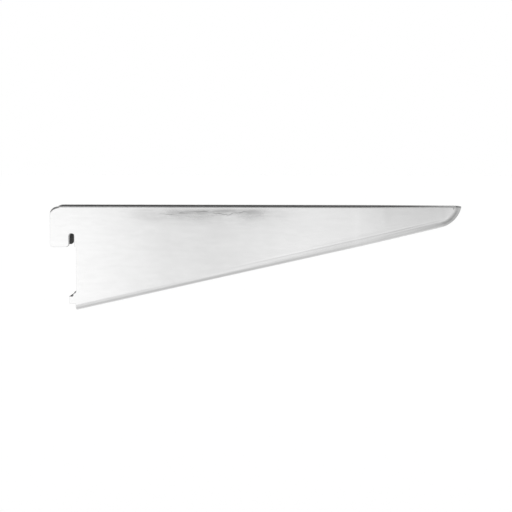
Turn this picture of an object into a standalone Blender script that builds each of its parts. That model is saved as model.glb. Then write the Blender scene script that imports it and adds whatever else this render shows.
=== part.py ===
"""A one-piece shelf bracket for a twin-slotted upright, folded from bright plated steel sheet.

The sheet is folded into a channel that is open at the top, where the shelf lies on its two edges.
The fold runs along the slanted underside, turns up round the nose and closes the front end. At the
back each cheek has a hook with a round-topped slot, and below it a tab that enters a lower slot.

Frame: +X runs from the upright to the nose, +Z is up, and Y runs across the channel. The origin is in
the bracket's middle plane, where the upright's front face meets the shelf's underside. Metres.
"""

import math

import bmesh
import bpy
from mathutils import Vector

MM = 0.001

# The sheet and the channel that it is folded into
SHEET = 1.5 * MM  # thickness of the steel
WIDTH = 12.5 * MM  # over the outsides of the two cheeks
FOLD_RADIUS = 2.8 * MM  # outside radius of the folds along the underside
REACH = 170.0 * MM  # from the upright's front face to the nose

# The nose, where the underside's fold turns up and the cheeks draw together
NOSE_RADIUS = 11.8 * MM  # seen from the side
NOSE_LEAN = math.radians(79.6)  # slope of the nose where it meets the shelf
NOSE_WIDTH = 8.2 * MM  # over the cheeks where they end in the folds
NOSE_FLAT = 0.8 * MM  # left between the two folds at the nose
NOSE_OVERRUN = math.radians(0.6)  # turn of the nose's arc above the shelf, before the sheet is cut
BOW_LENGTH = 46.0 * MM  # over which the cheeks draw together

# The hook and its slot, which drop over the lower edge of a slot in the upright
HOOK_LENGTH = 10.6 * MM  # behind the upright's front face
HOOK_DEPTH = 17.8 * MM  # below the shelf
HOOK_CROWN_RADIUS = 3.7 * MM
HOOK_TOE_RADIUS = 1.3 * MM
HOOK_LEAD_RADIUS = 1.5 * MM  # eases the upright's sheet into the slot
SEAT_DEPTH = 11.8 * MM  # top of the slot, below the shelf
SEAT_WIDTH = 2.2 * MM  # of the slot, for the upright's sheet

# The back edge and the tab, which enters the slot one pitch lower
UPRIGHT_PITCH = 32.0 * MM  # between slots of the upright
BACK_RELIEF = 0.7 * MM  # clear of the upright's face below the slot
TAB_LENGTH = 2.4 * MM  # behind the upright's front face
TAB_CLEARANCE = 1.0 * MM  # from the tab to the lower edge of its slot
TAB_HEIGHT = 3.3 * MM  # at its tip
TAB_SLOPE = math.radians(35.0)  # of its top edge
TAB_FILLET = 1.6 * MM  # from the back edge into the tab
HEEL_SETBACK = 0.25 * MM  # of the channel's open end from the upright
HEEL_DROP = 3.15 * MM  # from the tab down to the underside
CORNER_RADIUS = 0.42 * MM  # small outer corners of the blank
NOTCH_RADIUS = 0.2 * MM  # small inner corners of the blank

# The screw hole near the nose, square to the underside
SCREW_HOLE = 4.5 * MM
SCREW_HOLE_SETBACK = 50.0 * MM  # from the nose

EDGE_ROUND = 0.35 * MM  # rolled over the cut edges, less than CORNER_RADIUS

# Steps of the rounded forms
FOLD_STEPS = 9
BOW_STEPS = 18
NOSE_STEPS = 12
CORNER_TURN = math.radians(8.0)  # turn of one step round an outline's corner
SHORTEST_STEP = 0.15 * MM  # of those steps, on the smallest corners
EDGE_STEPS = 3
HOLE_STEPS = 36
SLIVER = 0.06 * MM  # shorter edges, left where the cuts cross the folds, are closed up
CUT_EDGE_ANGLE = math.radians(50.0)  # edges sharper than this are cut edges, and are rolled
SPARE = 4.0 * MM  # by which the sheet and the cutters run past the finished outline

BRIGHT_STEEL = {"color": (0.80, 0.80, 0.80, 1.0), "roughness": 0.28, "metallic": 1.0}


def clear_scene():
    for item in list(bpy.data.objects):
        bpy.data.objects.remove(item, do_unlink=True)


def make_material(name, color, roughness, metallic):
    material = bpy.data.materials.new(name)
    material.use_nodes = True
    shader = material.node_tree.nodes["Principled BSDF"]
    shader.inputs["Base Color"].default_value = color
    shader.inputs["Roughness"].default_value = roughness
    shader.inputs["Metallic"].default_value = metallic
    material.diffuse_color = color
    return material


def object_from_bmesh(name, mesh_data):
    bmesh.ops.recalc_face_normals(mesh_data, faces=mesh_data.faces[:])
    mesh = bpy.data.meshes.new(name)
    mesh_data.to_mesh(mesh)
    mesh_data.free()
    item = bpy.data.objects.new(name, mesh)
    bpy.context.collection.objects.link(item)
    return item


def ease(share):
    """A smooth step from 0 to 1."""
    share = min(max(share, 0.0), 1.0)
    return share * share * (3.0 - 2.0 * share)


def fold_path():
    """The outer line of the fold in the middle plane, as points (x, z) with the lean of their stations.

    The tab's place sets the underside's depth at the upright. From there it runs straight, tangent to
    the nose's arc, which meets the shelf with its own lean and ends just above it. The stations stand
    square to the line, and round the nose they turn on until the last one lies level with the shelf.
    """
    centre_x, centre_z = nose_centre()
    slope = underside_slope()

    def on_line(x):
        return (x, underside(x), slope)

    def on_nose(angle):
        x = centre_x + NOSE_RADIUS * math.sin(angle)
        lean = slope + (angle - slope) * (math.pi / 2 - slope) / (NOSE_LEAN - slope)
        return (x, centre_z - NOSE_RADIUS * math.cos(angle), lean)

    nose_start = on_nose(slope)[0]
    bow_start = REACH - BOW_LENGTH
    path = [on_line(-HOOK_LENGTH - SPARE)]
    for step in range(BOW_STEPS):
        path.append(on_line(bow_start + (nose_start - bow_start) * step / BOW_STEPS))
    last_turn = NOSE_LEAN + NOSE_OVERRUN
    for step in range(NOSE_STEPS + 1):
        path.append(on_nose(slope + (last_turn - slope) * step / NOSE_STEPS))
    x, z, lean = path[-1]
    path.append((x + SPARE * math.cos(last_turn), z + SPARE * math.sin(last_turn), lean))
    return path


def tab_bottom():
    return SEAT_DEPTH + UPRIGHT_PITCH - TAB_CLEARANCE


def back_depth():
    """Depth of the underside where its line meets the upright's front face."""
    return tab_bottom() + HEEL_DROP


def nose_centre():
    return (REACH - NOSE_RADIUS * math.sin(NOSE_LEAN), NOSE_RADIUS * math.cos(NOSE_LEAN))


def underside_slope():
    """Slope of the straight underside, tangent to the nose's arc."""
    run, height = nose_centre()
    rise = height + back_depth()
    return math.atan2(rise, run) - math.asin(NOSE_RADIUS / math.hypot(run, rise))


def underside(x):
    """Height of the straight underside in the middle plane."""
    return math.tan(underside_slope()) * x - back_depth()


def half_section(x, z, lean):
    """Half of one station of the sheet's outside, from the near cheek's top down round its fold."""
    drawn = ease((x - (REACH - BOW_LENGTH)) / BOW_LENGTH)
    half = (WIDTH + (NOSE_WIDTH - WIDTH) * drawn) / 2
    radius = FOLD_RADIUS + ((NOSE_WIDTH - NOSE_FLAT) / 2 - FOLD_RADIUS) * drawn
    inward = Vector((-math.sin(lean), 0.0, math.cos(lean)))
    ridge = Vector((x, 0.0, z))
    points = []
    for step in range(FOLD_STEPS + 1):
        turn = math.pi / 2 * step / FOLD_STEPS
        height = radius * (1.0 - math.sin(turn))
        across = -(half - radius) - radius * math.cos(turn)
        points.append(ridge + inward * height + Vector((0.0, across, 0.0)))
    cheek_top = Vector((points[0].x, points[0].y, 2 * SPARE))
    return [cheek_top] + points


def folded_sheet():
    """The folded channel before its outline is cut, as an outside skin thickened inwards."""
    skin = bmesh.new()
    rows = []
    for x, z, lean in fold_path():
        near = half_section(x, z, lean)
        far = [Vector((point.x, -point.y, point.z)) for point in reversed(near)]
        rows.append([skin.verts.new(point) for point in near + far])
    for back, front in zip(rows, rows[1:]):
        for low, high in zip(range(len(back)), range(1, len(back))):
            skin.faces.new((back[low], back[high], front[high], front[low]))
    sheet = object_from_bmesh("folded_sheet", skin)
    thicken = sheet.modifiers.new("sheet", "SOLIDIFY")
    thicken.thickness = SHEET
    thicken.offset = -1.0
    thicken.use_even_offset = True
    thicken.use_quality_normals = True
    return sheet


def rounded_outline(corners):
    """A closed outline in the side view, with each corner (x, z, radius) turned into an arc."""
    points = []
    for index, (x, z, radius) in enumerate(corners):
        corner = Vector((x, z))
        before = (Vector(corners[index - 1][:2]) - corner).normalized()
        after = (Vector(corners[(index + 1) % len(corners)][:2]) - corner).normalized()
        turn = math.pi - before.angle(after)
        if radius == 0.0:
            points.append(corner)
            continue
        setback = radius * math.tan(turn / 2)
        middle = corner + (before + after).normalized() * (radius / math.cos(turn / 2))
        start = corner + before * setback - middle
        side = 1.0 if before.cross(after) < 0.0 else -1.0
        steps = min(math.ceil(turn / CORNER_TURN), math.floor(radius * turn / SHORTEST_STEP))
        steps = max(2, steps)
        for step in range(steps + 1):
            angle = side * turn * step / steps
            spoke = Vector(
                (
                    start.x * math.cos(angle) - start.y * math.sin(angle),
                    start.x * math.sin(angle) + start.y * math.cos(angle),
                )
            )
            points.append(middle + spoke)
    return points


def side_outline():
    """The bracket seen from the side, past the folded edge, where the fold itself gives the outline."""
    tab_top_back = tab_bottom() - TAB_HEIGHT
    tab_root = tab_top_back - (TAB_LENGTH + BACK_RELIEF) * math.tan(TAB_SLOPE)
    below = back_depth() + SPARE
    return rounded_outline(
        [
            (-HOOK_LENGTH, 0.0, HOOK_CROWN_RADIUS),
            (-HOOK_LENGTH, -HOOK_DEPTH, HOOK_TOE_RADIUS),
            (-SEAT_WIDTH, -HOOK_DEPTH, HOOK_LEAD_RADIUS),
            (-SEAT_WIDTH, -SEAT_DEPTH, SEAT_WIDTH / 2),
            (0.0, -SEAT_DEPTH, SEAT_WIDTH / 2),
            (0.0, -HOOK_DEPTH, CORNER_RADIUS),
            (BACK_RELIEF, -HOOK_DEPTH, NOTCH_RADIUS),
            (BACK_RELIEF, -tab_root, TAB_FILLET),
            (-TAB_LENGTH, -tab_top_back, CORNER_RADIUS),
            (-TAB_LENGTH, -tab_bottom(), CORNER_RADIUS),
            (HEEL_SETBACK, -tab_bottom(), NOTCH_RADIUS),
            (HEEL_SETBACK, -below, 0.0),
            (REACH + SPARE, -below, 0.0),
            (REACH + SPARE, 0.0, 0.0),
        ]
    )


def prism(name, outline, half_thickness):
    """The side outline carried straight across the channel."""
    body = bmesh.new()
    near = [body.verts.new((point.x, -half_thickness, point.y)) for point in outline]
    face = body.faces.new(near)
    grown = bmesh.ops.extrude_face_region(body, geom=[face])
    far = [item for item in grown["geom"] if isinstance(item, bmesh.types.BMVert)]
    bmesh.ops.translate(body, verts=far, vec=(0.0, 2 * half_thickness, 0.0))
    return object_from_bmesh(name, body)


def screw_cutter():
    """A round punch square to the underside."""
    middle_x = REACH - SCREW_HOLE_SETBACK
    punch = bmesh.new()
    bmesh.ops.create_cone(
        punch,
        cap_ends=True,
        segments=HOLE_STEPS,
        radius1=SCREW_HOLE / 2,
        radius2=SCREW_HOLE / 2,
        depth=2 * SPARE,
    )
    item = object_from_bmesh("screw_punch", punch)
    item.location = (middle_x, 0.0, underside(middle_x))
    item.rotation_euler = (0.0, -underside_slope(), 0.0)
    return item


def cut(item, tool, operation):
    tool.hide_render = True
    tool.display_type = "WIRE"
    step = item.modifiers.new(tool.name, "BOOLEAN")
    step.operation = operation
    step.object = tool
    step.solver = "EXACT"


def main():
    clear_scene()
    bracket = folded_sheet()
    bracket.name = "bracket"
    cut(bracket, prism("blank_outline", side_outline(), WIDTH), "INTERSECT")
    cut(bracket, screw_cutter(), "DIFFERENCE")
    tidy = bracket.modifiers.new("no_slivers", "WELD")
    tidy.merge_threshold = SLIVER
    rolled = bracket.modifiers.new("rolled_edges", "BEVEL")
    rolled.width = EDGE_ROUND
    rolled.segments = EDGE_STEPS
    rolled.limit_method = "ANGLE"
    rolled.angle_limit = CUT_EDGE_ANGLE
    rolled.use_clamp_overlap = False
    bracket.data.materials.append(make_material("bright_plated_steel", **BRIGHT_STEEL))
    bracket.data.shade_smooth()
    bracket.data.set_sharp_from_angle(angle=math.radians(40.0))


main()
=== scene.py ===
import math

import bmesh
import bpy
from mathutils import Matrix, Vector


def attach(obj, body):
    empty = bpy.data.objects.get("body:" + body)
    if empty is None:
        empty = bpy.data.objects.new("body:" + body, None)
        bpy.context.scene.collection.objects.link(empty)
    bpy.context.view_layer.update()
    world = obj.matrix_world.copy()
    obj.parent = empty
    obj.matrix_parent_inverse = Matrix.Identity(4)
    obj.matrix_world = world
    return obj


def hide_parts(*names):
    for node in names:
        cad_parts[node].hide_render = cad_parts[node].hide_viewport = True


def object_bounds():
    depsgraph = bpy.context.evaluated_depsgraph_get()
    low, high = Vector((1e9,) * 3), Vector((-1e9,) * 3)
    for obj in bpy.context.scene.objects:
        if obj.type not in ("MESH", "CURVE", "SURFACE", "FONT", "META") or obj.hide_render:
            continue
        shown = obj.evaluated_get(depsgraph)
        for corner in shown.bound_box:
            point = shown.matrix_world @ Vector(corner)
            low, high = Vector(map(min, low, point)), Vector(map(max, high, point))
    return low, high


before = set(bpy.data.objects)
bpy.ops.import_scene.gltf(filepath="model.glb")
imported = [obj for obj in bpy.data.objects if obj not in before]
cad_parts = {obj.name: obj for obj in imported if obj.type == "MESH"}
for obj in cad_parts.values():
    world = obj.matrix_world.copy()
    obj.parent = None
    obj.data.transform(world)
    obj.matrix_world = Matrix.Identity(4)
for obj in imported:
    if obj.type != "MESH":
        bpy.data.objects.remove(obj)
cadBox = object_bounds()

mm = 0.001


def toLinear(hexColour):  # sRGB hex to the linear colour that the shaders take
    channels = [int(hexColour[i:i + 2], 16) / 255 for i in (1, 3, 5)]
    return [c / 12.92 if c <= 0.04045 else ((c + 0.055) / 1.055) ** 2.4 for c in channels] + [1.0]


# links maps a socket's name or number to a value, to another node's output, or to a node, which
# stands for its first output
def addNode(tree, kind, settings=None, links=None):
    node = tree.nodes.new(kind)
    for name, value in (settings or {}).items():
        setattr(node, name, value)
    for socket, value in (links or {}).items():
        if isinstance(value, bpy.types.Node):
            value = value.outputs[0]
        if isinstance(value, bpy.types.NodeSocket):
            tree.links.new(value, node.inputs[socket])
        else:
            node.inputs[socket].default_value = value
    return node


# The folded sheet

sheetLook = {
    "mergeWithin": 0.002 * mm,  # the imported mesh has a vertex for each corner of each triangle
    "flatWithin": 0.4,  # degrees, faces that are one plane of the sheet
    "sharpAbove": 50.0,  # degrees, wider than the turn inside a rolled edge
    "insideTilt": 0.45,  # how far a face must lean into the channel to be one of its inner faces
    "rimHeight": 1 * mm,  # the top edges stay bright
    "webHalf": 4.7 * mm,  # half of the web's width inside the channel
    "noseFrom": 0.9,  # share of the reach where the folded nose begins
}


# faces that take the inside's painted shade
def facesInside(normal, centre):
    look = sheetLook
    high = cadBox[1]
    intoChannel = -normal.y if centre.y > 0 else normal.y
    if intoChannel > look["insideTilt"]:
        return True
    onWeb = normal.z > look["insideTilt"] and abs(centre.y) < look["webHalf"]
    inNose = normal.x < -look["insideTilt"] and centre.x > high.x * look["noseFrom"]
    return centre.z < high.z - look["rimHeight"] and (onWeb or inNose)


def smoothBracket():  # the same sheet with shared vertices, so that its folds shade as one bend
    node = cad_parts["bracket"]
    sheet = bmesh.new()
    sheet.from_mesh(node.data)
    bmesh.ops.remove_doubles(sheet, verts=sheet.verts[:], dist=sheetLook["mergeWithin"])
    bmesh.ops.dissolve_limit(
        sheet,
        angle_limit=math.radians(sheetLook["flatWithin"]),
        verts=sheet.verts[:],
        edges=sheet.edges[:],
    )
    for face in sheet.faces:
        face.material_index = 1 if facesInside(face.normal, face.calc_center_median()) else 0
    mesh = bpy.data.meshes.new("foldedSheet")
    sheet.to_mesh(mesh)
    sheet.free()
    mesh.shade_smooth()
    mesh.set_sharp_from_angle(angle=math.radians(sheetLook["sharpAbove"]))
    piece = bpy.data.objects.new("foldedSheet", mesh)
    bpy.context.scene.collection.objects.link(piece)
    weighted = piece.modifiers.new("flatFacesFirst", "WEIGHTED_NORMAL")
    weighted.keep_sharp = True
    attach(piece, "root")
    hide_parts("bracket")
    return piece


# Masks for the marks on the sheet. A mark's three lengths are where it starts, where it ends and
# how wide both ends fade. A pattern is its length along the reach, its height and its detail, and
# its span is the part of the noise that is stretched to its levels

def allOf(tree, masks):  # 1 where every mask is 1
    shared = masks[0]
    for mask in masks[1:]:
        shared = addNode(tree, "ShaderNodeMath", {"operation": "MULTIPLY"}, {0: shared, 1: mask})
    return shared


def between(tree, value, low, high, soft):  # 1 from low to high, fading over soft on both sides
    rise = addNode(tree, "ShaderNodeMapRange", {"interpolation_type": "SMOOTHSTEP"}, {
        "Value": value,
        "From Min": low - soft / 2,
        "From Max": low + soft / 2,
    })
    fall = addNode(tree, "ShaderNodeMapRange", {"interpolation_type": "SMOOTHSTEP"}, {
        "Value": value,
        "From Min": high - soft / 2,
        "From Max": high + soft / 2,
        "To Min": 1.0,
        "To Max": 0.0,
    })
    return allOf(tree, [rise, fall])


# 1 between two radii round a line across the bracket, fading over soft
def ringMask(tree, place, centre, inner, outer, soft):
    flat = addNode(tree, "ShaderNodeVectorMath", {"operation": "MULTIPLY_ADD"}, {
        0: place,
        1: (1.0, 0.0, 1.0),
        2: (-centre[0], 0.0, -centre[1]),
    })
    radius = addNode(tree, "ShaderNodeVectorMath", {"operation": "LENGTH"}, {0: flat})
    return between(tree, radius.outputs["Value"], inner, outer, soft)


def streaks(tree, place, pattern):  # noise drawn out along the reach
    length, height, detail = pattern
    scaled = addNode(tree, "ShaderNodeMapping", {}, {
        "Vector": place,
        "Scale": (1 / length, 1 / height, 1 / height),
    })
    return addNode(tree, "ShaderNodeTexNoise", {}, {
        "Vector": scaled,
        "Scale": 1.0,
        "Detail": detail,
        "Roughness": 0.6,
    })


def streakLevels(tree, place, pattern, span, levels):
    return addNode(tree, "ShaderNodeMapRange", {}, {
        "Value": streaks(tree, place, pattern),
        "From Min": span[0],
        "From Max": span[1],
        "To Min": levels[0],
        "To Max": levels[1],
    })


def tinted(tree, shade, mask, tone):  # shade, times tone where the mask is 1
    factor = addNode(tree, "ShaderNodeMapRange", {}, {"Value": mask, "To Min": 1.0, "To Max": tone})
    return addNode(tree, "ShaderNodeMath", {"operation": "MULTIPLY"}, {0: shade, 1: factor})


dullPatchShadeLook = {  # a duller patch under the top edge, its colour darkened by painted shade for the dim ceiling mirrored there
    "reach": (30 * mm, 86 * mm, 26 * mm),
    "deep": -9 * mm,
    "edge": -1.7 * mm,  # where it is strongest
    "rim": -0.6 * mm,
    "rimShare": 0.15,  # of it left on the rolled edge
    "blotch": (12 * mm, 5 * mm, 3.0),
    "blotchSpan": (0.3, 0.62),
    "blotchLevels": (0.25, 1.0),
    "levelStreak": (9 * mm, 1.2 * mm, 4.0),
    "levelStreakSpan": (0.35, 0.6),
    "levelStreakLevels": (0.62, 1.0),
    # how dark the painted shade makes the colour
    "tone": 0.65,
    "dull": 0.14,  # roughness that it adds
}


def dullPatchWithShade(tree, place, along, up):  # painted shade under the top edge, broken by level streaks in a soft-edged blotch pattern
    look = dullPatchShadeLook
    return allOf(tree, [
        between(tree, along, *look["reach"]),
        addNode(tree, "ShaderNodeMapRange", {}, {
            "Value": up,
            "From Min": look["deep"],
            "From Max": look["edge"],
        }),
        streakLevels(tree, place, look["blotch"], look["blotchSpan"], look["blotchLevels"]),
        streakLevels(tree, place, look["levelStreak"], look["levelStreakSpan"], look["levelStreakLevels"]),
        addNode(tree, "ShaderNodeMapRange", {}, {
            "Value": up,
            "From Min": look["edge"],
            "From Max": look["rim"],
            "To Min": 1.0,
            "To Max": look["rimShare"],
        }),
    ])


scratchLook = {  # one long scratch in the patch of painted shade under the top edge
    "reach": (38 * mm, 76 * mm, 6 * mm),
    "deep": 2.6 * mm,
    "width": (-0.14 * mm, 0.14 * mm, 0.25 * mm),
    "wander": (12 * mm, 30 * mm, 3.0),
    "wanderSpan": (0.3, 0.7),
    "wanderBy": (-1.3 * mm, 1.3 * mm),
    "breaks": (4 * mm, 2 * mm, 2.0),
    "breakSpan": (0.4, 0.58),
    "breakLevels": (0.15, 1.0),
    "tone": 0.6,
}


def longScratch(tree, place, along, up):  # it wanders up and down and breaks off here and there
    look = scratchLook
    path = addNode(tree, "ShaderNodeMath", {"operation": "ADD"}, {0: up, 1: look["deep"]})
    offPath = addNode(tree, "ShaderNodeMath", {"operation": "ADD"}, {
        0: path,
        1: streakLevels(tree, place, look["wander"], look["wanderSpan"], look["wanderBy"]),
    })
    return allOf(tree, [
        between(tree, offPath, *look["width"]),
        between(tree, along, *look["reach"]),
        streakLevels(tree, place, look["breaks"], look["breakSpan"], look["breakLevels"]),
    ])


foldShadeLook = {  # painted shade and highlights along the fold, where its curve begins; heights are over the underside
    "slope": -0.22715,  # the underside rises by this share of the reach
    "depth": 45.95 * mm,  # and lies this deep at the upright
    "reach": (78 * mm, 158 * mm, 30 * mm),
    # the band is painted shade where the fold begins to turn, the lines painted dark reflections
    "band": (2.0 * mm, 3.75 * mm, 0.25 * mm),
    "bandTone": 0.94,
    "lines": [(3.3 * mm, 3.75 * mm, 0.25 * mm), (2.6 * mm, 2.8 * mm, 0.35 * mm)],
    "lineTone": 0.875,
    "breaks": (22 * mm, 9 * mm, 2.0),
    "breakSpan": (0.38, 0.6),
    "breakLevels": (0.5, 1.0),
    "ridge": (4.0 * mm, 4.35 * mm, 0.4 * mm),  # painted highlight, over the lines
    "ridgeTone": 1.05,
    "shadedBand": (2.55 * mm, 5.35 * mm, 1.6 * mm),  # painted shade round the lines, before the bow
    "shadedBandReach": (104 * mm, 134 * mm, 22 * mm),
    "shadedBandTone": 0.94,
    "brightBand": (1.25 * mm, 2.25 * mm, 0.5 * mm),  # painted highlight on the fold, before the nose
    "brightBandReach": (138 * mm, 153 * mm, 8 * mm),
    "brightBandTone": 1.09,
}


def foldLightAndShade(tree, place, along, up):  # painted dark reflection lines parallel to the fold, with painted shade and highlights
    look = foldShadeLook
    depth = addNode(tree, "ShaderNodeMath", {"operation": "MULTIPLY_ADD"}, {
        0: along,
        1: look["slope"],
        2: look["depth"],
    })
    height = addNode(tree, "ShaderNodeMath", {"operation": "ADD"}, {0: up, 1: depth})
    drawn = between(tree, along, *look["reach"])
    broken = streakLevels(tree, place, look["breaks"], look["breakSpan"], look["breakLevels"])
    lines = addNode(tree, "ShaderNodeMath", {"operation": "ADD"}, {
        0: between(tree, height, *look["lines"][0]),
        1: between(tree, height, *look["lines"][1]),
    })
    marks = [
        (allOf(tree, [between(tree, height, *look["band"]), drawn]), look["bandTone"]),
        (allOf(tree, [lines, drawn, broken]), look["lineTone"]),
        (allOf(tree, [between(tree, height, *look["ridge"]), drawn]), look["ridgeTone"]),
    ]
    for name in ("shadedBand", "brightBand"):
        inHeight = between(tree, height, *look[name])
        inReach = between(tree, along, *look[name + "Reach"])
        marks.append((allOf(tree, [inHeight, inReach]), look[name + "Tone"]))
    return marks


bowReflectionLook = {  # painted reflection where the cheeks begin to draw together: a lighter band, then a darker line
    "light": (122.0 * mm, 124.4 * mm, 3.6 * mm),
    "lightTone": 1.02,
    "dark": (125.0 * mm, 126.0 * mm, 2.0 * mm),
    "darkTone": 0.98,
}


def bowReflection(tree, along):
    look = bowReflectionLook
    return [(between(tree, along, *look[name]), look[name + "Tone"]) for name in ("light", "dark")]


noseLook = {
    "centre": (158.3 * mm, 2.1 * mm),  # of the arc that the fold follows round the nose
    "crease": (9.35 * mm, 10.35 * mm, 0.7 * mm),  # radii of that arc
    "creaseStart": (156 * mm, 161 * mm),
    "creaseEnd": (-0.5 * mm, -1.4 * mm),  # it fades out towards the top edge
    "creaseTone": 0.82,
    "glint": (8.35 * mm, 8.95 * mm, 0.5 * mm),  # a painted highlight here
    "glintReach": (160 * mm, 163.5 * mm, 2 * mm),
    "glintTone": 1.07,
    "gathered": (8.65 * mm, 40 * mm, 1.2 * mm),  # painted light and shade of small dents, from the crease outwards
    "gatheredStart": (155 * mm, 162 * mm),
    "dent": (1.8 * mm, 1.1 * mm, 2.0),
    "dentSpan": (0.35, 0.65),
    "dentShades": (-0.09, 0.07),
}


# The die leaves a crease beside the fold, round the nose: painted shade draws its dark line, and a
# painted highlight lies beside its start
def noseCreaseShadeAndGlint(tree, place, along, up):
    look = noseLook
    crease = allOf(tree, [
        ringMask(tree, place, look["centre"], *look["crease"]),
        addNode(tree, "ShaderNodeMapRange", {}, {
            "Value": along,
            "From Min": look["creaseStart"][0],
            "From Max": look["creaseStart"][1],
        }),
        addNode(tree, "ShaderNodeMapRange", {}, {
            "Value": up,
            "From Min": look["creaseEnd"][0],
            "From Max": look["creaseEnd"][1],
        }),
    ])
    glint = allOf(tree, [
        ringMask(tree, place, look["centre"], *look["glint"]),
        between(tree, along, *look["glintReach"]),
    ])
    return [(crease, look["creaseTone"]), (glint, look["glintTone"])]


def noseDentLightAndShade(tree, place, along):  # a factor near 1: painted light and shade of small dents where the sheet gathered into the nose
    look = noseLook
    dented = allOf(tree, [
        streakLevels(tree, place, look["dent"], look["dentSpan"], look["dentShades"]),
        ringMask(tree, place, look["centre"], *look["gathered"]),
        addNode(tree, "ShaderNodeMapRange", {}, {
            "Value": along,
            "From Min": look["gatheredStart"][0],
            "From Max": look["gatheredStart"][1],
        }),
    ])
    return addNode(tree, "ShaderNodeMath", {"operation": "ADD"}, {0: dented, 1: 1.0})


tabCornerShadeLook = {  # painted shade on the tab's top corner, a small dark spot
    "corner": (-1.25 * mm, -38.9 * mm),
    "spot": (-1.0 * mm, 0.7 * mm, 0.5 * mm),  # radii, from its very centre
    "tone": 0.15,
}

crownLook = {  # the punch draws the sheet down round the hook's top corner
    "centre": (-6.9 * mm, -3.7 * mm),
    "roll": (3.7 * mm, 9.0 * mm, 2.0 * mm),  # radii round that corner's centre
    "rise": (-5.5 * mm, -1.9 * mm),  # none under the first height, all over the second
    "reach": (-5.7 * mm, -7.5 * mm),  # and the same towards the back
    "depth": 0.35 * mm,
}


def drawnCrown(tree, place, along, up, normal):
    look = crownLook
    rolled = allOf(tree, [
        ringMask(tree, place, look["centre"], *look["roll"]),
        addNode(tree, "ShaderNodeMapRange", {}, {
            "Value": up,
            "From Min": look["rise"][0],
            "From Max": look["rise"][1],
        }),
        addNode(tree, "ShaderNodeMapRange", {}, {
            "Value": along,
            "From Min": look["reach"][0],
            "From Max": look["reach"][1],
        }),
    ])
    return addNode(tree, "ShaderNodeBump", {"invert": True}, {
        "Height": rolled,
        "Distance": look["depth"],
        "Strength": 1.0,
        "Normal": normal,
    })


zincLook = {
    "base": "#f5f5f5",  # bright zinc over cold rolled steel, neutral
    "roughness": 0.19,
    "clearer": 0.02,  # roughness less between the handling marks
    "hazier": 0.03,  # and more in them
    "grain": (20 * mm, 0.8 * mm, 3.0),  # rolling lines, coarser than real ones, so that they show
    "grainSpan": (0.3, 0.7),
    "grainShade": 0.008,
    "grainDepth": 0.00015 * mm,
    "smudge": (5 * mm, 1.8 * mm, 2.0),  # uneven plating, in soft level smudges
    "smudgeSpan": (0.35, 0.65),
    "smudgeShade": 0.02,
    "cloud": (22 * mm, 13.75 * mm, 3.0),  # handling marks
    "cloudSpan": (0.3, 0.7),
    "cloudShade": 0.038,
    "wave": (30 * mm, 15 * mm, 1.0),  # the cheek is not quite flat
    "waveDepth": 0.008 * mm,
    "lightShare": 0.4,  # how far a pattern lightens, as a share of how far it darkens
}


# Bright zinc, barrel plated over cold rolled sheet: soft wide reflections with faint rolling lines,
# cloudy where it was handled, duller under the top edge; painted shade and highlights in its colour
def brightZincPlate():
    look = zincLook
    material = bpy.data.materials.new("brightZincPlate")
    material.use_nodes = True
    tree = material.node_tree
    shader = tree.nodes["Principled BSDF"]
    place = addNode(tree, "ShaderNodeTexCoord").outputs["Object"]
    parts = addNode(tree, "ShaderNodeSeparateXYZ", {}, {0: place})
    along, up = parts.outputs["X"], parts.outputs["Z"]

    patterns = {name: streaks(tree, place, look[name]) for name in ("grain", "smudge", "cloud")}
    wave = streaks(tree, place, look["wave"])
    dullShadedPatch = dullPatchWithShade(tree, place, along, up)

    shade = noseDentLightAndShade(tree, place, along)
    for name, pattern in patterns.items():
        factor = addNode(tree, "ShaderNodeMapRange", {}, {
            "Value": pattern,
            "From Min": look[name + "Span"][0],
            "From Max": look[name + "Span"][1],
            "To Min": 1.0 - look[name + "Shade"],
            "To Max": 1.0 + look[name + "Shade"] * look["lightShare"],
        })
        shade = addNode(tree, "ShaderNodeMath", {"operation": "MULTIPLY"}, {0: shade, 1: factor})
    # the marks: painted shade and highlights, and one scratch
    marks = [
        (dullShadedPatch, dullPatchShadeLook["tone"]),
        (longScratch(tree, place, along, up), scratchLook["tone"]),
        (ringMask(tree, place, tabCornerShadeLook["corner"], *tabCornerShadeLook["spot"]), tabCornerShadeLook["tone"]),
    ]
    marks += foldLightAndShade(tree, place, along, up)
    marks += bowReflection(tree, along)
    marks += noseCreaseShadeAndGlint(tree, place, along, up)
    for mask, tone in marks:
        shade = tinted(tree, shade, mask, tone)
    colour = addNode(tree, "ShaderNodeVectorMath", {"operation": "SCALE"}, {
        0: toLinear(look["base"])[:3],
        "Scale": shade,
    })
    tree.links.new(colour.outputs[0], shader.inputs["Base Color"])

    hazy = addNode(tree, "ShaderNodeMapRange", {}, {
        "Value": patterns["cloud"],
        "From Min": look["cloudSpan"][0],
        "From Max": look["cloudSpan"][1],
        "To Min": look["roughness"] - look["clearer"],
        "To Max": look["roughness"] + look["hazier"],
    })
    rough = addNode(tree, "ShaderNodeMath", {"operation": "MULTIPLY_ADD"}, {
        0: dullShadedPatch,
        1: dullPatchShadeLook["dull"],
        2: hazy,
    })
    tree.links.new(rough.outputs[0], shader.inputs["Roughness"])
    shader.inputs["Metallic"].default_value = 1.0

    lined = addNode(tree, "ShaderNodeBump", {}, {
        "Height": patterns["grain"],
        "Distance": look["grainDepth"],
        "Strength": 1.0,
    })
    waved = addNode(tree, "ShaderNodeBump", {}, {
        "Height": wave,
        "Distance": look["waveDepth"],
        "Strength": 1.0,
        "Normal": lined,
    })
    crown = drawnCrown(tree, place, along, up, waved)
    tree.links.new(crown.outputs[0], shader.inputs["Normal"])
    return material


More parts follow.
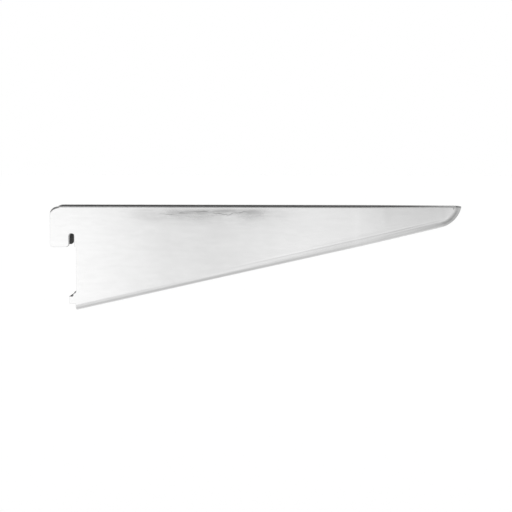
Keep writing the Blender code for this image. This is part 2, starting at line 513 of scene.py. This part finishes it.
insideShadeLook = {
    # the inside's colours are painted shade, darkest deep in the channel
    "deep": "#7e7e7e",
    "shallow": "#9c9c9c",
    "shallowReach": (95 * mm, 125 * mm),  # where the channel gets shallow, and its painted shade lighter
    "open": "#f0f0f0",
    "openReach": (148 * mm, 166 * mm),  # painted light where it runs out into the nose
    "dimDepth": (-3 * mm, -12 * mm),  # painted shade, darker with depth between the hooks
    "dimReach": (16 * mm, 2 * mm),
    "dimTone": 0.5,
    "metallic": 0.6,  # the oxide film scatters the rest
    "roughness": 0.5,
}


# Zinc inside the folded channel, where little plating current reaches: thin and dull under an oxide
# film, so it scatters more than it mirrors. Painted shade, dark in the deep part, lighter to the
# nose
def insideZincPaintedShade():
    look = insideShadeLook
    material = bpy.data.materials.new("insideZincPaintedShade")
    material.use_nodes = True
    tree = material.node_tree
    shader = tree.nodes["Principled BSDF"]
    place = addNode(tree, "ShaderNodeTexCoord").outputs["Object"]
    parts = addNode(tree, "ShaderNodeSeparateXYZ", {}, {0: place})
    along, up = parts.outputs["X"], parts.outputs["Z"]
    colour = toLinear(look["deep"])
    for name in ("shallow", "open"):
        reached = addNode(tree, "ShaderNodeMapRange", {}, {
            "Value": along,
            "From Min": look[name + "Reach"][0],
            "From Max": look[name + "Reach"][1],
        })
        mixed = addNode(tree, "ShaderNodeMix", {"data_type": "RGBA"}, {
            "Factor": reached,
            6: colour,
            7: toLinear(look[name]),
        })
        colour = mixed.outputs[2]
    shadedBetweenHooks = allOf(tree, [
        addNode(tree, "ShaderNodeMapRange", {}, {
            "Value": up,
            "From Min": look["dimDepth"][0],
            "From Max": look["dimDepth"][1],
        }),
        addNode(tree, "ShaderNodeMapRange", {}, {
            "Value": along,
            "From Min": look["dimReach"][0],
            "From Max": look["dimReach"][1],
        }),
    ])
    dimmed = addNode(tree, "ShaderNodeVectorMath", {"operation": "SCALE"}, {
        0: colour,
        "Scale": tinted(tree, 1.0, shadedBetweenHooks, look["dimTone"]),
    })
    tree.links.new(dimmed.outputs[0], shader.inputs["Base Color"])
    shader.inputs["Metallic"].default_value = look["metallic"]
    shader.inputs["Roughness"].default_value = look["roughness"]
    return material


bracket = smoothBracket()
bracket.data.materials.append(brightZincPlate())
bracket.data.materials.append(insideZincPaintedShade())
print("bracket: folded sheet dressed")


# The studio

studio = {
    "floorBelow": 250 * mm,  # under the shelf plane, so that the bracket hangs clear
    "floorSize": 12.0,
    "floorColour": "#f2f2f2",
    "fill": 0.85,  # what the plain white room gives the floor
    "tilt": 0.14,  # the dim ceiling comes lower on the right
    "spillFrom": 0.17,  # light let in over the right side
    "spillTo": 0.23,
    "spillLow": 0.04,  # and how far over the horizon
    "spillHigh": 0.12,
    "spill": 0.26,
    "steepFrom": 0.55,  # where the sides give way to the floor, as the upward part of a direction
    "steepTo": 0.95,
    "floorGlow": 0.25,  # keeps the floor pale where the camera sees it
}

# Grey levels that the metal mirrors, as pairs of place and level: across, from left to right,
acrossTones = [
    (-1.00, 0.95),
    (-0.60, 1.04),
    (-0.28, 1.16),
    (-0.18, 1.18),
    (-0.16, 1.12),
    (-0.13, 0.93),
    (-0.10, 0.79),
    (-0.06, 0.79),
    (-0.02, 0.80),
    (0.02, 0.92),
    (0.05, 1.14),
    (0.075, 1.14),
    (0.10, 0.86),
    (0.13, 0.86),
    (0.20, 0.98),
    (0.26, 0.88),
    (0.31, 0.80),
    (0.36, 0.77),
    (0.40, 0.70),
    (0.46, 0.60),
    (0.70, 0.50),
    (1.00, 0.54),
]
# the floor under the bracket, from left to right
belowTones = [
    (-1.00, 1.20),
    (-0.17, 1.40),
    (-0.05, 1.12),
    (0.04, 0.96),
    (0.20, 0.86),
    (0.26, 0.91),
    (0.33, 1.02),
    (0.39, 0.88),
    (0.46, 0.66),
    (1.00, 0.52),
]
# and by height, from straight down to straight up
heightTones = [
    (-1.00, 0.60),
    (-0.95, 0.65),
    (-0.88, 0.73),
    (-0.68, 0.87),
    (-0.42, 0.95),
    (-0.30, 1.00),
    (-0.20, 1.04),
    (-0.12, 1.01),
    (-0.08, 0.96),
    (0.00, 0.93),
    (0.06, 0.60),
    (0.10, 0.09),
    (0.60, 0.08),
    (0.90, 0.45),
    (1.00, 0.55),
]


def toneRamp(tree, tones, source):  # source runs from -1 to 1
    share = addNode(tree, "ShaderNodeMath", {"operation": "MULTIPLY_ADD"}, {
        0: source,
        1: 0.5,
        2: 0.5,
    })
    ramp = addNode(tree, "ShaderNodeValToRGB", {}, {"Fac": share})
    ramp.color_ramp.interpolation = "LINEAR"
    stops = ramp.color_ramp.elements
    while len(stops) > 1:
        stops.remove(stops[-1])
    for index, (where, level) in enumerate(tones):
        position = 0.5 + 0.5 * where
        stop = stops[0] if index == 0 else stops.new(position)
        stop.position = position
        stop.color = (level, level, level, 1.0)
    return ramp.outputs["Color"]


# Plain white to the camera, and to the metal a light floor, a dim ceiling and a darker right side,
# with some light let in over that side
def buildRoom():
    world = bpy.data.worlds.new("studioRoom")
    bpy.context.scene.world = world
    world.use_nodes = True
    tree = world.node_tree
    tree.nodes.clear()
    direction = addNode(tree, "ShaderNodeTexCoord").outputs["Generated"]
    parts = addNode(tree, "ShaderNodeSeparateXYZ", {}, {0: direction})
    toRight, upward = parts.outputs["X"], parts.outputs["Z"]
    tilted = addNode(tree, "ShaderNodeMath", {"operation": "MULTIPLY_ADD"}, {
        0: toRight,
        1: studio["tilt"],
        2: upward,
    })
    steep = addNode(tree, "ShaderNodeMath", {"operation": "ABSOLUTE"}, {0: upward})
    sideways = addNode(tree, "ShaderNodeMapRange", {"interpolation_type": "SMOOTHSTEP"}, {
        "Value": steep,
        "From Min": studio["steepFrom"],
        "From Max": studio["steepTo"],
        "To Min": 1.0,
        "To Max": 0.0,
    })
    side = addNode(tree, "ShaderNodeMix", {"data_type": "RGBA"}, {
        "Factor": sideways,
        6: toneRamp(tree, belowTones, toRight),
        7: toneRamp(tree, acrossTones, toRight),
    })
    lit = addNode(tree, "ShaderNodeVectorMath", {"operation": "MULTIPLY"}, {
        0: side.outputs[2],
        1: toneRamp(tree, heightTones, tilted),
    })
    onRight = addNode(tree, "ShaderNodeMapRange", {}, {
        "Value": toRight,
        "From Min": studio["spillFrom"],
        "From Max": studio["spillTo"],
        "To Max": studio["spill"],
    })
    overHorizon = addNode(tree, "ShaderNodeMapRange", {}, {
        "Value": upward,
        "From Min": studio["spillLow"],
        "From Max": studio["spillHigh"],
    })
    mirrored = addNode(tree, "ShaderNodeVectorMath", {"operation": "ADD"}, {
        0: lit,
        1: allOf(tree, [onRight, overHorizon]),
    })
    rays = addNode(tree, "ShaderNodeLightPath")
    plain = addNode(tree, "ShaderNodeMix", {"data_type": "RGBA"}, {
        "Factor": rays.outputs["Is Glossy Ray"],
        6: [studio["fill"]] * 3 + [1.0],
        7: mirrored,
    })
    seen = addNode(tree, "ShaderNodeMath", {"operation": "MAXIMUM"}, {
        0: rays.outputs["Is Camera Ray"],
        1: rays.outputs["Is Transmission Ray"],
    })
    room = addNode(tree, "ShaderNodeMix", {"data_type": "RGBA"}, {
        "Factor": seen,
        6: plain.outputs[2],
        7: toLinear("#ffffff"),
    })
    light = addNode(tree, "ShaderNodeBackground", {}, {"Color": room.outputs[2], "Strength": 1.0})
    addNode(tree, "ShaderNodeOutputWorld", {}, {"Surface": light})


def buildFloor():  # matt pale paint, lit by the room
    mesh = bpy.data.meshes.new("studioFloor")
    half = studio["floorSize"] / 2
    low = -studio["floorBelow"]
    corners = [(-half, -half, low), (half, -half, low), (half, half, low), (-half, half, low)]
    mesh.from_pydata(corners, [], [(0, 1, 2, 3)])
    floor = bpy.data.objects.new("studioFloor", mesh)
    bpy.context.scene.collection.objects.link(floor)
    floor.visible_glossy = False  # the metal mirrors the room's own tones below the horizon
    material = bpy.data.materials.new("paleFloor")
    material.use_nodes = True
    tree = material.node_tree
    tree.nodes.clear()
    rays = addNode(tree, "ShaderNodeLightPath")
    paint = addNode(tree, "ShaderNodeBsdfDiffuse", {}, {"Color": toLinear(studio["floorColour"])})
    glow = addNode(tree, "ShaderNodeMath", {"operation": "MULTIPLY"}, {
        0: rays.outputs["Is Camera Ray"],
        1: studio["floorGlow"],
    })
    lift = addNode(tree, "ShaderNodeEmission", {}, {"Strength": glow})
    both = addNode(tree, "ShaderNodeAddShader", {}, {0: paint, 1: lift})
    addNode(tree, "ShaderNodeOutputMaterial", {}, {"Surface": both})
    mesh.materials.append(material)


buildRoom()
buildFloor()
print("studio: room and floor")


# The camera, where the photograph was taken from

view = {
    "distance": 400 * mm,  # from the near cheek
    "fromUpright": 79.28 * mm,  # along the reach
    "overShelfPlane": 31.6 * mm,
    "pitch": 3.81,  # degrees down, and the rest of the framing is shift
    "roll": -0.12,  # degrees, the photograph's top line falls to the right
    "shift": 0.118,
    "lens": 64.83,  # in the camera's own millimetres, as is the sensor
    "sensor": 36.0,
    "clipFrom": 10 * mm,
}


def placeCamera():
    data = bpy.data.cameras.new("viewCamera")
    data.lens = view["lens"]
    data.sensor_width = view["sensor"]
    data.shift_y = -view["shift"]
    data.clip_start = view["clipFrom"]
    camera = bpy.data.objects.new("viewCamera", data)
    bpy.context.scene.collection.objects.link(camera)
    nearCheek = cadBox[0].y
    camera.location = (view["fromUpright"], nearCheek - view["distance"], view["overShelfPlane"])
    camera.rotation_euler = (math.radians(90 - view["pitch"]), math.radians(view["roll"]), 0.0)
    bpy.context.scene.camera = camera


placeCamera()
bpy.context.scene.view_settings.view_transform = "Standard"
print("camera placed")
